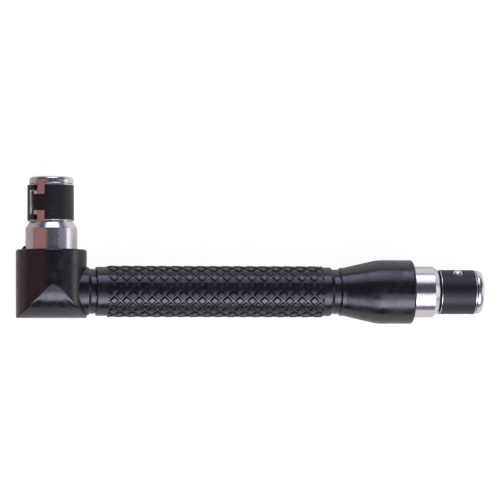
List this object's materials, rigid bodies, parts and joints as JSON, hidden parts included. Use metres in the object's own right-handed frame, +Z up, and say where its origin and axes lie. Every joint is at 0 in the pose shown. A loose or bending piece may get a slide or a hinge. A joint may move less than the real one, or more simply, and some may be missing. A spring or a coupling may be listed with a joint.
{
  "type": "offset screwdriver",
  "caption": "L-shaped hand driver: a diamond-knurled black grip on a steel rod, with a chromed spring-catch holder for hex bits at a right angle and another in line with it.",
  "frame": {"origin": "centre of the plan of the bounding box, at its lowest point; the tool lies on its side as it would on a bench", "axes": "+X along the grip from the right-angle hub towards the straight holder; +Y along the angled holder, out of its mouth; +Z up, across the plane of the L"},
  "size_m": [0.1206, 0.0374, 0.0181],
  "materials": {
    "black_coat": "semi-gloss black powder coat with a fine orange-peel texture on cast metal",
    "rod_steel": "cold-drawn hexagonal steel bar, bare",
    "holder_chrome": "turned steel, bright chrome plated, with fine turning lines",
    "band_black": "blackened spring steel, semi-gloss",
    "ball_steel": "ground and polished bearing steel"
  },
  "bodies": {
    "driver": {"angle_head": "black_coat", "grip": "black_coat", "end_bell": "black_coat", "core_rod": "rod_steel", "angled_holder": "holder_chrome", "angled_band": "band_black", "straight_holder": "holder_chrome", "straight_band": "band_black"},
    "angled_ball": {"angled_ball": "ball_steel"},
    "straight_ball": {"straight_ball": "ball_steel"}
  },
  "joints": [
    {"name": "angled_ball_catch", "type": "slide", "parent": "driver", "child": "angled_ball", "axis": [0.5, 0, -0.866], "range_m": [0, 0.00045], "stiffness_N_per_m": 4000, "springref_m": -0.0006, "deforming": ["angled_band"]},
    {"name": "straight_ball_catch", "type": "slide", "parent": "driver", "child": "straight_ball", "axis": [0, 0.866, 0.5], "range_m": [0, 0.00045], "stiffness_N_per_m": 4000, "springref_m": -0.0006, "deforming": ["straight_band"]}
  ]
}
